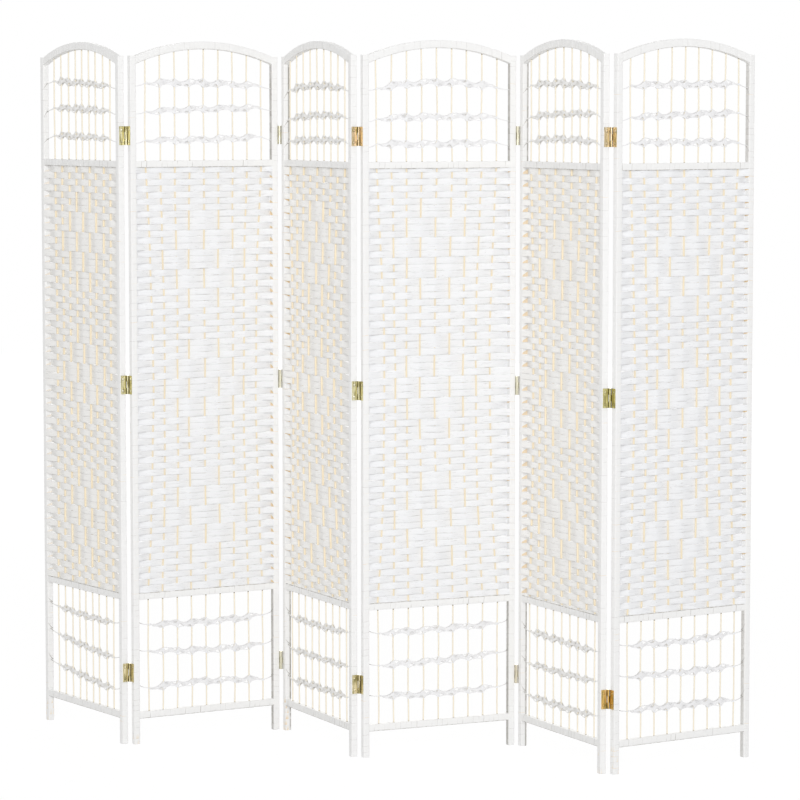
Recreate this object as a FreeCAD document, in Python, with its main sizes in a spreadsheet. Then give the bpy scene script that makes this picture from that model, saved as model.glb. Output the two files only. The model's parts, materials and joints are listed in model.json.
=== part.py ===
import FreeCAD
import Part
import Sketcher
import math
import os
from FreeCAD import Placement, Rotation, Vector

# Six-panel folding screen: wooden frames with arched tops, a woven paper field round upright sticks,
# and three brass butt hinges at each of the five joints. Millimetres, +Z up, front towards -Y.

PANELS = 6
SCREW_SIDES = 8
HINGE_LEVELS = ("low_hinge_level", "middle_hinge_level", "top_hinge_level")
FOLDS = ("fold_one_angle", "fold_two_angle", "fold_three_angle", "fold_four_angle", "fold_five_angle")

# Driving dimensions: alias, value, what it measures
DIMENSIONS = [
    ("panel_width", "400", "one panel over its stiles"),
    ("stile_height", "1665", "stile from the floor to its top"),
    ("stile_side", "15", "square section of a stile"),
    ("stile_round", "1.5", "rounding of a stile's long edges"),
    ("arch_rise", "35", "crown of the arch above the stile tops"),
    ("arch_rail_height", "18", "arched rail between its two arcs"),
    ("rail_height", "16", "height of a cross rail"),
    ("rail_depth", "11", "depth of every rail from front to back"),
    ("bottom_rail_level", "62", "underside of the bottom rail"),
    ("lower_rail_level", "353", "underside of the lower cross rail"),
    ("upper_rail_drop", "267", "stile top down to the underside of the upper cross rail"),
    ("tenon_length", "8", "tenon beyond the rail's shoulder"),
    ("tenon_height", "9", "tenon from low to high"),
    ("tenon_thickness", "6", "tenon from front to back"),
    ("tenon_clearance", "0.1", "room round a tenon in its mortise"),
    ("stick_count", "9", "upright sticks in a panel"),
    ("stick_side", "3.5", "square section of a stick"),
    ("stick_edge", "27.5", "stile to the middle of the first stick"),
    ("stick_clearance", "0.1", "room round a stick in its hole"),
    ("strip_height", "14.4", "height of a woven strip"),
    ("strip_gap", "0.7", "gap between neighbouring strips"),
    ("strip_thickness", "1", "folded paper of a woven strip"),
    ("cord_height", "10", "height of a tied cord"),
    ("cord_thickness", "1.2", "thickness of a tied cord"),
    ("cord_rows", "3", "tied cords in each open section"),
    ("low_cord_rise", "62", "bottom rail up to the middle of the lowest tied cord"),
    ("low_cord_step", "75", "spacing of the lower tied cords"),
    ("top_cord_rise", "46", "upper cross rail up to the middle of the first tied cord above it"),
    ("top_cord_step", "68", "spacing of the upper tied cords"),
    ("hinge_height", "45", "height of a hinge leaf"),
    ("leaf_thickness", "1.2", "plate of a hinge leaf"),
    ("leaf_margin", "1.5", "free edge of a leaf to the stile's face"),
    ("knuckle_radius", "2.75", "outside of a knuckle"),
    ("middle_knuckle", "15", "height of the middle knuckle"),
    ("knuckle_gap", "0.3", "gap between neighbouring knuckles"),
    ("pin_radius", "1.2", "hinge pin"),
    ("pin_clearance", "0.05", "running clearance round a pin"),
    ("pin_setback", "4", "pin axis clear of the stile's face"),
    ("screw_head_radius", "2.6", "screw head"),
    ("screw_shank_radius", "1.4", "shank below the head"),
    ("screw_length", "12", "whole length of a screw"),
    ("screw_spacing", "28", "between the two screws of a leaf"),
    ("screw_clearance", "0.05", "room round a screw head"),
    ("low_hinge_level", "174.5", "middle of the lowest hinge"),
    ("middle_hinge_level", "875.5", "middle of the middle hinge"),
    ("top_hinge_drop", "190.5", "stile top down to the middle of the highest hinge"),
    ("first_yaw_angle", "40.5", "turn of the first panel from the line of the screen, degrees"),
    ("fold_one_angle", "87", "turn between panels 1 and 2 as the screen stands, degrees"),
    ("fold_two_angle", "94.5", "turn between panels 2 and 3, degrees"),
    ("fold_three_angle", "88.5", "turn between panels 3 and 4, degrees"),
    ("fold_four_angle", "88", "turn between panels 4 and 5, degrees"),
    ("fold_five_angle", "96.5", "turn between panels 5 and 6, degrees"),
]

# Sizes that follow from the driving ones
DERIVED = [
    ("inner_width", "=panel_width - 2 * stile_side"),
    ("arch_radius", "=(arch_rise ^ 2 + inner_width ^ 2 / 4) / (2 * arch_rise)"),
    ("arch_centre", "=stile_height + arch_rise - arch_radius"),
    ("arch_inner", "=arch_radius - arch_rail_height"),
    ("arch_spring", "=arch_centre + sqrt(arch_inner ^ 2 - inner_width ^ 2 / 4)"),
    ("arch_tenon_level", "=(stile_height + arch_spring) / 2"),
    ("upper_rail_level", "=stile_height - upper_rail_drop"),
    ("bottom_rail_middle", "=bottom_rail_level + rail_height / 2"),
    ("lower_rail_middle", "=lower_rail_level + rail_height / 2"),
    ("upper_rail_middle", "=upper_rail_level + rail_height / 2"),
    ("stick_pitch", "=(inner_width - 2 * stick_edge) / (stick_count - 1)"),
    ("stick_foot", "=bottom_rail_level + rail_height"),
    ("low_cord_level", "=stick_foot + low_cord_rise"),
    ("top_cord_level", "=upper_rail_level + rail_height + top_cord_rise"),
    ("strip_pitch", "=strip_height + strip_gap"),
    ("field_foot", "=lower_rail_level + rail_height"),
    ("field_height", "=upper_rail_level - field_foot"),
    ("strip_pairs", "=floor(field_height / (2 * strip_pitch))"),
    ("first_strip", "=field_foot + field_height / 2 - (strip_pairs - 0.5) * strip_pitch"),
    ("top_hinge_level", "=stile_height - top_hinge_drop"),
    ("leaf_width", "=stile_side + pin_setback - leaf_margin"),
    ("pin_depth", "=stile_side / 2 + pin_setback"),
    ("pin_reach", "=panel_width / 2 + knuckle_radius"),
]

doc = FreeCAD.newDocument("folding_screen")
sizes = doc.addObject("Spreadsheet::Sheet", "Sizes")


def fill_sheet():
    rows = DIMENSIONS + [(alias, formula, "follows from the sizes above") for alias, formula in DERIVED]
    for row, (alias, value, note) in enumerate(rows, start=1):
        sizes.set("A%d" % row, alias)
        sizes.set("B%d" % row, value)
        sizes.setAlias("B%d" % row, alias)
        sizes.set("C%d" % row, note)
    doc.recompute()


def size(alias):
    return float(sizes.get(alias))


def bind(item, path, formula):
    """Bind a property to a formula in which each #word is a cell of the sheet."""
    item.setExpression(path, formula.replace("#", "Sizes."))


# Sketch and feature helpers

def new_body(name):
    body = doc.addObject("PartDesign::Body", name)
    body.AllowCompound = True
    return body


def origin_plane(body, role):
    return [item for item in body.Origin.OriginFeatures if item.Role == role][0]


def new_sketch(body, name, role, offset=None):
    sketch = body.newObject("Sketcher::SketchObject", name)
    sketch.AttachmentSupport = [(origin_plane(body, role), "")]
    sketch.MapMode = "FlatFace"
    for axis, formula in (offset or {}).items():
        bind(sketch, "AttachmentOffset.Base." + axis, formula)
    return sketch


def constrain(sketch, name, formula, *terms):
    index = sketch.addConstraint(Sketcher.Constraint(*terms))
    sketch.renameConstraint(index, name)
    bind(sketch, "Constraints." + name, formula)


def join_ends(sketch, loop):
    """Join each line's end to the next line's start."""
    for line, following in zip(loop, loop[1:] + loop[:1]):
        sketch.addConstraint(Sketcher.Constraint("Coincident", line, 2, following, 1))


def add_lines(sketch, points):
    corners = [Vector(x, y, 0) for x, y in points]
    lines = [
        sketch.addGeometry(Part.LineSegment(start, end))
        for start, end in zip(corners, corners[1:] + corners[:1])
    ]
    join_ends(sketch, lines)
    return lines


def centred_rectangle(sketch, wide, tall):
    """A rectangle about the sketch's own origin."""
    low, right, top, left = add_lines(sketch, [(-5, -5), (5, -5), (5, 5), (-5, 5)])
    for line in (low, top):
        sketch.addConstraint(Sketcher.Constraint("Horizontal", line))
    for line in (right, left):
        sketch.addConstraint(Sketcher.Constraint("Vertical", line))
    sketch.addConstraint(Sketcher.Constraint("Symmetric", low, 1, right, 2, -1, 1))
    constrain(sketch, "wide", wide, "DistanceX", low, 1, low, 2, 10)
    constrain(sketch, "tall", tall, "DistanceY", right, 1, right, 2, 10)


def add_pad(body, sketch, length, symmetric=True):
    pad = body.newObject("PartDesign::Pad", sketch.Name + "Pad")
    pad.Profile = sketch
    pad.SideType = "Symmetric" if symmetric else "One side"
    bind(pad, "Length", length)
    body.Tip = pad
    return pad


def add_pocket(body, sketch, length=None):
    """A cut of the given depth against the sketch's normal, or right through both ways."""
    pocket = body.newObject("PartDesign::Pocket", sketch.Name + "Pocket")
    pocket.Profile = sketch
    if length:
        bind(pocket, "Length", length)
    else:
        pocket.Type = "ThroughAll"
        pocket.SideType = "Symmetric"
    body.Tip = pocket
    return pocket


def repeat(body, feature, sketch, axis, step, count):
    pattern = body.newObject("PartDesign::LinearPattern", feature.Name + "Row")
    pattern.Originals = [feature]
    pattern.Direction = (sketch, [axis])
    pattern.Mode = "Spacing"
    bind(pattern, "Offset", step)
    bind(pattern, "Occurrences", count)
    body.Tip = pattern
    return pattern


# Frame pieces, each in the frame of one panel or about its own middle

def make_stile():
    """Square post with rounded long edges and a mortise on its inner face for each rail."""
    body = new_body("Stile")
    section = new_sketch(body, "StileSection", "XY_Plane")
    centred_rectangle(section, "#stile_side", "#stile_side")
    post = add_pad(body, section, "#stile_height", symmetric=False)
    doc.recompute()
    upright = [
        "Edge%d" % number
        for number, edge in enumerate(post.Shape.Edges, start=1)
        if abs(edge.Vertexes[0].Z - edge.Vertexes[1].Z) > size("stile_side")
    ]
    rounding = body.newObject("PartDesign::Fillet", "StileRounding")
    rounding.Base = (post, upright)
    bind(rounding, "Radius", "#stile_round")
    body.Tip = rounding
    for level in ("bottom_rail_middle", "lower_rail_middle", "upper_rail_middle", "arch_tenon_level"):
        mortise = new_sketch(
            body, "Mortise_" + level, "YZ_Plane", {"y": "#" + level, "z": "#stile_side / 2"}
        )
        centred_rectangle(
            mortise, "#tenon_thickness + 2 * #tenon_clearance", "#tenon_height + 2 * #tenon_clearance"
        )
        add_pocket(body, mortise, "#tenon_length + #tenon_clearance")
    return body


def make_cross_rail(name, drilled):
    """Straight rail about its own middle, with a tenon at each end and holes for the sticks."""
    body = new_body(name)
    bar = new_sketch(body, name + "Bar", "XZ_Plane")
    centred_rectangle(bar, "#inner_width", "#rail_height")
    add_pad(body, bar, "#rail_depth")
    tenons = new_sketch(body, name + "Tenons", "XZ_Plane")
    centred_rectangle(tenons, "#inner_width + 2 * #tenon_length", "#tenon_height")
    add_pad(body, tenons, "#tenon_thickness")
    if drilled:
        hole = new_sketch(body, name + "Hole", "XY_Plane", {"x": "#stick_edge - #inner_width / 2"})
        centred_rectangle(
            hole, "#stick_side + 2 * #stick_clearance", "#stick_side + 2 * #stick_clearance"
        )
        repeat(body, add_pocket(body, hole), hole, "H_Axis", "#stick_pitch", "#stick_count")
    return body


def make_arched_rail():
    """Rail between two arcs about one centre, with a tenon at each end."""
    body = new_body("ArchedRail")
    bow = new_sketch(body, "Bow", "XZ_Plane")
    centre = Vector(0, size("arch_centre"), 0)
    arcs = []
    for radius in ("arch_radius", "arch_inner"):
        lean = math.acos(size("inner_width") / 2 / size(radius))
        circle = Part.Circle(centre, Vector(0, 0, 1), size(radius))
        arcs.append(bow.addGeometry(Part.ArcOfCircle(circle, lean, math.pi - lean)))
    outer, inner = arcs
    for end in (1, 2):
        start_point = bow.getPoint(outer, end)
        end_point = bow.getPoint(inner, end)
        side = bow.addGeometry(Part.LineSegment(start_point, end_point))
        bow.addConstraint(Sketcher.Constraint("Coincident", outer, end, side, 1))
        bow.addConstraint(Sketcher.Constraint("Coincident", inner, end, side, 2))
        bow.addConstraint(Sketcher.Constraint("Vertical", side))
    bow.addConstraint(Sketcher.Constraint("Coincident", outer, 3, inner, 3))
    bow.addConstraint(Sketcher.Constraint("PointOnObject", outer, 3, -2))
    constrain(bow, "centre", "#arch_centre", "DistanceY", -1, 1, outer, 3, centre.y)
    constrain(bow, "outer", "#arch_radius", "Radius", outer, size("arch_radius"))
    constrain(bow, "inner", "#arch_inner", "Radius", inner, size("arch_inner"))
    half = size("inner_width") / 2
    constrain(bow, "right", "#inner_width / 2", "DistanceX", -1, 1, outer, 1, half)
    constrain(bow, "left", "#inner_width / 2", "DistanceX", outer, 2, -1, 1, half)
    add_pad(body, bow, "#rail_depth")
    for name, sign in (("RightTenon", ""), ("LeftTenon", "-")):
        place = {"x": sign + "#inner_width / 2", "y": "#arch_tenon_level"}
        tenon = new_sketch(body, name, "XZ_Plane", place)
        centred_rectangle(tenon, "2 * #tenon_length", "#tenon_height")
        add_pad(body, tenon, "#tenon_thickness")
    return body


def make_sticks():
    """Upright sticks from the bottom rail to the underside of the arch."""
    sticks = []
    for number in range(int(size("stick_count"))):
        stick = doc.addObject("Part::Box", "Stick%d" % (number + 1))
        middle = "(#stick_edge - #inner_width / 2 + %d * #stick_pitch)" % number
        bind(stick, "Length", "#stick_side")
        bind(stick, "Width", "#stick_side")
        outer_side = "(abs(%s) + #stick_side / 2)" % middle
        bind(
            stick,
            "Height",
            "#arch_centre + sqrt(#arch_inner ^ 2 - %s ^ 2) - #stick_clearance - #stick_foot" % outer_side,
        )
        bind(stick, "Placement.Base.x", middle + " - #stick_side / 2")
        bind(stick, "Placement.Base.y", "-#stick_side / 2")
        bind(stick, "Placement.Base.z", "#stick_foot")
        sticks.append(stick)
    return sticks


# Woven field and tied cords

def add_bands(body, name, thick, tall, layer, level, step, count):
    """Flat bands from stile to stile, one above another; layer -1 lies before the sticks, 1 behind."""
    depth = "%d * (#stick_side + #%s) / 2" % (layer, thick)
    profile = new_sketch(body, name, "YZ_Plane", {"x": depth, "y": level})
    centred_rectangle(profile, "#" + thick, "#" + tall)
    band = add_pad(body, profile, "#inner_width")
    repeat(body, band, profile, "V_Axis", step, count)


def make_woven_field():
    """Paper strips that pass before and behind the sticks in turn."""
    body = new_body("WovenField")
    for name, layer, first in (("Front", -1, "#first_strip"), ("Back", 1, "#first_strip + #strip_pitch")):
        add_bands(
            body, name + "Strip", "strip_thickness", "strip_height", layer, first,
            "2 * #strip_pitch", "#strip_pairs"
        )
    return body


def make_tied_cords():
    """Rows of paper cord before and behind the sticks, in both open sections."""
    body = new_body("TiedCords")
    for section in ("low", "top"):
        for name, layer in (("Front", -1), ("Back", 1)):
            add_bands(
                body, name + section.title() + "Cord", "cord_thickness", "cord_height", layer,
                "#%s_cord_level" % section, "#%s_cord_step" % section, "#cord_rows"
            )
    return body


# Hinge pieces about the pin's axis, with the stile on the -X side and the leaf towards -Y

def make_leaf(name, notches):
    """Leaf rolled round the pin, notched for the other leaf's knuckles and holed for its screws."""
    body = new_body(name + "Blank")
    roll = new_sketch(body, name + "Roll", "XY_Plane")
    radius = size("knuckle_radius")
    inner = radius - size("leaf_thickness")
    dip = math.sqrt(radius ** 2 - inner ** 2)
    width = size("leaf_width")
    far, tip, near = [
        roll.addGeometry(Part.LineSegment(Vector(*start), Vector(*end)))
        for start, end in (
            ((-inner, -dip, 0), (-inner, -width, 0)),
            ((-inner, -width, 0), (-radius, -width, 0)),
            ((-radius, -width, 0), (-radius, 0, 0)),
        )
    ]
    circle = Part.Circle(Vector(0, 0, 0), Vector(0, 0, 1), radius)
    start_angle = math.atan2(-dip, -inner)
    eye = roll.addGeometry(Part.ArcOfCircle(circle, start_angle, math.pi))
    bore = roll.addGeometry(Part.Circle(Vector(0, 0, 0), Vector(0, 0, 1), size("pin_radius")))
    for first, first_end, second, second_end in (
        (far, 2, tip, 1), (tip, 2, near, 1), (near, 2, eye, 2), (far, 1, eye, 1),
        (eye, 3, -1, 1), (bore, 3, -1, 1),
    ):
        roll.addConstraint(
            Sketcher.Constraint("Coincident", first, first_end, second, second_end)
        )
    roll.addConstraint(Sketcher.Constraint("Vertical", far))
    roll.addConstraint(Sketcher.Constraint("Vertical", near))
    roll.addConstraint(Sketcher.Constraint("Horizontal", tip))
    roll.addConstraint(Sketcher.Constraint("PointOnObject", near, 2, -1))
    constrain(roll, "eye", "#knuckle_radius", "Radius", eye, radius)
    constrain(roll, "bore", "#pin_radius + #pin_clearance", "Radius", bore, size("pin_radius"))
    constrain(roll, "plate", "#leaf_thickness", "DistanceX", tip, 2, tip, 1, size("leaf_thickness"))
    constrain(roll, "width", "#leaf_width", "DistanceY", near, 1, near, 2, width)
    add_pad(body, roll, "#hinge_height")
    for number, (level, tall) in enumerate(notches, start=1):
        notch = new_sketch(body, "%sNotch%d" % (name, number), "YZ_Plane", {"y": level})
        centred_rectangle(notch, "2 * (#knuckle_radius + #knuckle_gap)", tall)
        add_pocket(body, notch)
    leaf = doc.addObject("Part::Cut", name)
    leaf.Base = body
    leaf.Tool = make_screw_prisms(
        name + "Hole", "#screw_head_radius + #screw_clearance", "#leaf_thickness", "#knuckle_radius"
    )
    return leaf


def make_screw_prisms(name, radius, length, depth):
    """A pair of eight-sided prisms at the screws' places, whose stile end lies at the given depth."""
    pair = doc.addObject("Part::Compound", name + "Pair")
    prisms = []
    for side, sign in (("Low", "-"), ("High", "")):
        prism = doc.addObject("Part::Prism", name + side)
        prism.Polygon = SCREW_SIDES
        prism.Placement = Placement(Vector(0, 0, 0), Rotation(Vector(0, 1, 0), 90))
        bind(prism, "Circumradius", radius)
        bind(prism, "Height", length)
        bind(prism, "Placement.Base.x", "-(%s)" % depth)
        bind(prism, "Placement.Base.y", "-#pin_depth")
        bind(prism, "Placement.Base.z", sign + "#screw_spacing / 2")
        prisms.append(prism)
    pair.Links = prisms
    return pair


def make_leaf_screws():
    """The two screws of a leaf: a head flush in the plate and a shank driven into the stile."""
    shank = "(#screw_length - #leaf_thickness)"
    screws = doc.addObject("Part::Fuse", "LeafScrews")
    screws.Base = make_screw_prisms("Head", "#screw_head_radius", "#leaf_thickness", "#knuckle_radius")
    screws.Tool = make_screw_prisms("Shank", "#screw_shank_radius", shank, "#knuckle_radius + " + shank)
    return screws


def make_pin():
    body = new_body("Pin")
    section = new_sketch(body, "PinSection", "XY_Plane")
    circle = Part.Circle(Vector(0, 0, 0), Vector(0, 0, 1), size("pin_radius"))
    ring = section.addGeometry(circle)
    section.addConstraint(Sketcher.Constraint("Coincident", ring, 3, -1, 1))
    constrain(section, "radius", "#pin_radius", "Radius", ring, size("pin_radius"))
    add_pad(body, section, "#hinge_height")
    return body


# How the panels stand

def pin_point(frame, end, side):
    """Pin axis of a panel: end 1 is its right end, side 1 its back."""
    return frame.multVec(Vector(end * size("pin_reach"), side * size("pin_depth"), 0))


def panel_frames():
    """Each panel turns about the pin it shares with the one before: back pins first, then front."""
    yaw = -size("first_yaw_angle")
    frames = [Placement(Vector(0, 0, 0), Rotation(Vector(0, 0, 1), yaw))]
    for number, fold in enumerate(FOLDS):
        side = 1 if number % 2 == 0 else -1
        yaw += side * size(fold)
        pin = pin_point(frames[-1], 1, side)
        turned = Placement(Vector(0, 0, 0), Rotation(Vector(0, 0, 1), yaw))
        frames.append(Placement(pin - pin_point(turned, -1, side), turned.Rotation))
    half_width = size("panel_width") / 2
    half_side = size("stile_side") / 2
    corners = [
        frame.multVec(Vector(x, y, 0))
        for frame in frames
        for x in (-half_width, half_width)
        for y in (-half_side, half_side)
    ]
    middle = Vector(
        (min(p.x for p in corners) + max(p.x for p in corners)) / 2,
        (min(p.y for p in corners) + max(p.y for p in corners)) / 2,
        0,
    )
    return [Placement(frame.Base - middle, frame.Rotation) for frame in frames]


def place_copy(name, source, placement):
    copy = doc.addObject("App::Link", name)
    copy.LinkedObject = source
    copy.Placement = placement
    return copy


def add_node(label, pieces, frame):
    node = doc.addObject("Part::Compound", label)
    node.Label = label
    node.Links = pieces
    node.Placement = frame
    return node


HALF_TURNS = {
    (1, 1): Rotation(),
    (1, -1): Rotation(Vector(1, 0, 0), 180),
    (-1, 1): Rotation(Vector(0, 1, 0), 180),
    (-1, -1): Rotation(Vector(0, 0, 1), 180),
}


def hinge_copies(prefix, source, end, side):
    """One copy of a hinge piece at each hinge of a panel's end."""
    copies = []
    for level in HINGE_LEVELS:
        place = Vector(end * size("pin_reach"), side * size("pin_depth"), size(level))
        copies.append(
            place_copy(prefix + "_" + level, source, Placement(place, HALF_TURNS[end, side]))
        )
    return copies


def panel_ends(number):
    """The hinged ends of a panel with the side of their pins: odd joints have them at the back."""
    ends = []
    if number > 1:
        ends.append((-1, 1 if number % 2 == 0 else -1))
    if number < PANELS:
        ends.append((1, 1 if number % 2 == 1 else -1))
    return ends


def build():
    stile = make_stile()
    arched_rail = make_arched_rail()
    drilled_rail = make_cross_rail("DrilledRail", True)
    plain_rail = make_cross_rail("PlainRail", False)
    sticks = make_sticks()
    field = make_woven_field()
    cords = make_tied_cords()
    end_knuckle = "(#hinge_height - #middle_knuckle) / 2"
    end_middle = "(#hinge_height + #middle_knuckle) / 4"
    outer_leaf = make_leaf("OuterLeaf", [("0", "#middle_knuckle + 2 * #knuckle_gap")])
    inner_leaf = make_leaf(
        "InnerLeaf", [("-" + end_middle, end_knuckle), (end_middle, end_knuckle)]
    )
    screws = make_leaf_screws()
    pin = make_pin()
    doc.recompute()

    rail_levels = (
        ("Bottom", plain_rail, "bottom_rail_middle"),
        ("Lower", drilled_rail, "lower_rail_middle"),
        ("Upper", drilled_rail, "upper_rail_middle"),
    )
    rails = [
        place_copy(name + "Rail", source, Placement(Vector(0, 0, size(level)), Rotation()))
        for name, source, level in rail_levels
    ]
    stile_offset = (size("panel_width") - size("stile_side")) / 2
    left_stile = place_copy("LeftStile", stile, Placement(Vector(-stile_offset, 0, 0), Rotation()))
    half_turn = HALF_TURNS[-1, -1]
    right_stile = place_copy("RightStile", stile, Placement(Vector(stile_offset, 0, 0), half_turn))

    nodes = []
    for number, frame in enumerate(panel_frames(), start=1):
        name = "panel_%d_" % number
        nodes += [
            add_node(name + "left_stile", [left_stile], frame),
            add_node(name + "right_stile", [right_stile], frame),
            add_node(name + "arched_top_rail", [arched_rail], frame),
            add_node(name + "cross_rails", rails, frame),
            add_node(name + "warp_sticks", sticks, frame),
            add_node(name + "woven_field", [field], frame),
            add_node(name + "tied_cords", [cords], frame),
        ]
        leaves = []
        leaf_screws = []
        for end, side in panel_ends(number):
            tag = "Panel%d%s" % (number, "Right" if end == 1 else "Left")
            leaf = outer_leaf if end == 1 else inner_leaf
            leaves += hinge_copies(tag + "Leaf", leaf, end, side)
            leaf_screws += hinge_copies(tag + "Screws", screws, end, side)
            if end == 1:
                pins = hinge_copies(tag + "Pin", pin, end, side)
                nodes.append(add_node("joint_%d_hinge_pins" % number, pins, frame))
        nodes.append(add_node(name + "hinge_leaves", leaves, frame))
        nodes.append(add_node(name + "hinge_screws", leaf_screws, frame))
    doc.recompute()
    return nodes


def check_document(nodes):
    for item in doc.Objects:
        if "Invalid" in item.State or "Error" in item.State:
            raise RuntimeError("%s failed to build" % item.Label)
    for node in nodes:
        if node.Shape.isNull() or not node.Shape.isValid() or not node.Shape.Solids:
            raise RuntimeError("%s has no valid solid" % node.Label)


def write_parts(nodes):
    os.makedirs("parts", exist_ok=True)
    for node in nodes:
        node.Shape.exportStep("parts/%s.step" % node.Label)
        print("%-28s %3d solids %12.1f mm3" % (node.Label, len(node.Shape.Solids), node.Shape.Volume))


fill_sheet()
screen_nodes = build()
check_document(screen_nodes)
write_parts(screen_nodes)
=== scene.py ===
import itertools
import json
import math

import bmesh
import bpy
import numpy as np
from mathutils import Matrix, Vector


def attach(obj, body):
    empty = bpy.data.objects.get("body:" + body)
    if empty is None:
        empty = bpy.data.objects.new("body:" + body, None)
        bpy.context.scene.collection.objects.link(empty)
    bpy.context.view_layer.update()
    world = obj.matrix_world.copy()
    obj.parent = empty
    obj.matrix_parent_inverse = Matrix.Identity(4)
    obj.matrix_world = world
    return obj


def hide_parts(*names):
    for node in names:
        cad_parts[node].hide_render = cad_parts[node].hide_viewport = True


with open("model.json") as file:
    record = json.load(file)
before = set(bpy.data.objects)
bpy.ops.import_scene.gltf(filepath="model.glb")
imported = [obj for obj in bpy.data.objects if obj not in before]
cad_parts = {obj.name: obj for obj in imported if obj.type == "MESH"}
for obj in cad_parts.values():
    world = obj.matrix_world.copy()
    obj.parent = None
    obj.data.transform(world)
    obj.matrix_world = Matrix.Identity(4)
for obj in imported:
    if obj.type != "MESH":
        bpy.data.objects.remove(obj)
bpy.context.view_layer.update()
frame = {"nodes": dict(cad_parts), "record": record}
record = frame["record"]
panelCount = 6
toMetres = 0.001  # from millimetres
print("frame loaded:", len(frame["nodes"]), "nodes")


class Settings(dict):  # a dictionary whose values also read as attributes
    __getattr__ = dict.__getitem__


# where each panel stands, taken from its two feet

class PanelFrame:
    def __init__(self, number):
        feet = {mount["name"]: mount["pos_m"] for mount in record["mounts"]}
        left = Vector(feet["panel_%d_left_foot" % number])
        right = Vector(feet["panel_%d_right_foot" % number])
        self.number = number
        self.body = "panel_%d" % number
        self.middle = np.array((left + right) / 2)
        along = np.array((right - left).normalized())
        self.axes = np.array([along, [-along[1], along[0], 0.0], [0.0, 0.0, 1.0]])

    def toWorld(self, points):  # panel millimetres to metres in the shared frame
        return points * toMetres @ self.axes + self.middle


panels = [PanelFrame(number) for number in range(1, panelCount + 1)]
seeds = dict(sway=100, sticks=200, weave=300, cords=400, stiles=500, rails=600, arches=700, screws=800)


def drawsFor(kind, panel):  # seeded random draws of one kind of piece on one panel
    return np.random.default_rng(seeds[kind] + panel.number)


# sizes of one panel in millimetres, as in the part

sizes = Settings(
    width=400.0, stile=15.0, height=1665.0, stileRound=1.5, archRise=35.0, archRail=18.0,
    railHeight=16.0, railFeet=(62.0, 353.0, 1398.0), sticks=9, stickEdge=27.5,
)
hingeLevels = dict(low=174.5, middle=875.5, top=1474.5)
stickCount = sizes.sticks
halfWidth = sizes.width / 2
halfStile = sizes.stile / 2
halfInner = halfWidth - sizes.stile
archRadius = (sizes.archRise ** 2 + halfInner ** 2) / (2 * sizes.archRise)
archCentre = sizes.height + sizes.archRise - archRadius
fieldFoot = sizes.railFeet[1] + sizes.railHeight
fieldTop = sizes.railFeet[2]
stickReach = halfInner - sizes.stickEdge
stickHomes = np.linspace(-stickReach, stickReach, stickCount)


# shader maths

class Wire:
    def __init__(self, tree, socket=None):
        self.tree = tree
        self.socket = socket

    def node(self, kind, inputs=None, out=0, **settings):
        made = self.tree.nodes.new("ShaderNode" + kind)
        for name, value in settings.items():
            setattr(made, name, value)
        for name, value in (inputs or {}).items():
            if isinstance(value, Wire):
                self.tree.links.new(value.socket, made.inputs[name])
            else:
                made.inputs[name].default_value = value
        return Wire(self.tree, made.outputs[out]) if made.outputs else None

    def other(self, name):  # another output of the same node
        return Wire(self.tree, self.socket.node.outputs[name])

    def maths(self, operation, first, second):
        return self.node("Math", {0: first, 1: second}, operation=operation)

    def __add__(self, value):
        return self.maths("ADD", self, value)

    __radd__ = __add__

    def __sub__(self, value):
        return self.maths("SUBTRACT", self, value)

    def __rsub__(self, value):
        return self.maths("SUBTRACT", value, self)

    def __mul__(self, value):
        return self.maths("MULTIPLY", self, value)

    __rmul__ = __mul__

    def scaled(self, share, start):
        return self * share + start

    def absolute(self):
        return self.maths("ABSOLUTE", self, 0.0)

    def larger(self, value):
        return self.maths("MAXIMUM", self, value)

    def blend(self, first, second):  # self is the share of the second colour
        return self.node("Mix", {0: self, 6: first, 7: second}, 2, data_type="RGBA")

    def step(self, low, high):  # 0 below low, 1 above high
        inputs = {0: self, 1: low, 2: high}
        return self.node("MapRange", inputs, interpolation_type="SMOOTHSTEP")

    def bump(self, strength, depth):  # self is the height
        return self.node("Bump", {"Strength": strength, "Distance": depth, "Height": self})


def addObject(name, data):
    item = bpy.data.objects.new(name, data)
    bpy.context.scene.collection.objects.link(item)
    return item


def startMaterial(name):
    material = bpy.data.materials.new(name)
    material.use_nodes = True
    material.node_tree.nodes.clear()
    return material, Wire(material.node_tree)


def endMaterial(top, colour, roughness, bump, metallic=0.0):
    inputs = {"Base Color": colour, "Roughness": roughness, "Normal": bump, "Metallic": metallic}
    top.node("OutputMaterial", {0: top.node("BsdfPrincipled", inputs)})


def strandFrame(top):  # length in metres, place across from -1 to 1, number of the strand
    lay = top.node("Attribute", None, "Vector", attribute_name="lay")
    parts = top.node("SeparateXYZ", {0: lay})
    return parts, parts.other("Y"), parts.other("Z")


def woodSeamAndShadeShare(top):  # what a strand's points carry besides: bare wood, dark seams and painted shade
    return top.node("Attribute", None, "Fac", attribute_name="bare")


def grain(top, strand, stretch, detail=3.0, coarse=0.6):  # noise by a strand's length, width and number
    parts = {slot: part * share for slot, (part, share) in enumerate(zip(strand, stretch))}
    place = top.node("CombineXYZ", parts)
    return top.node("TexNoise", {"Vector": place, "Scale": 1.0, "Detail": detail, "Roughness": coarse})


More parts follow.
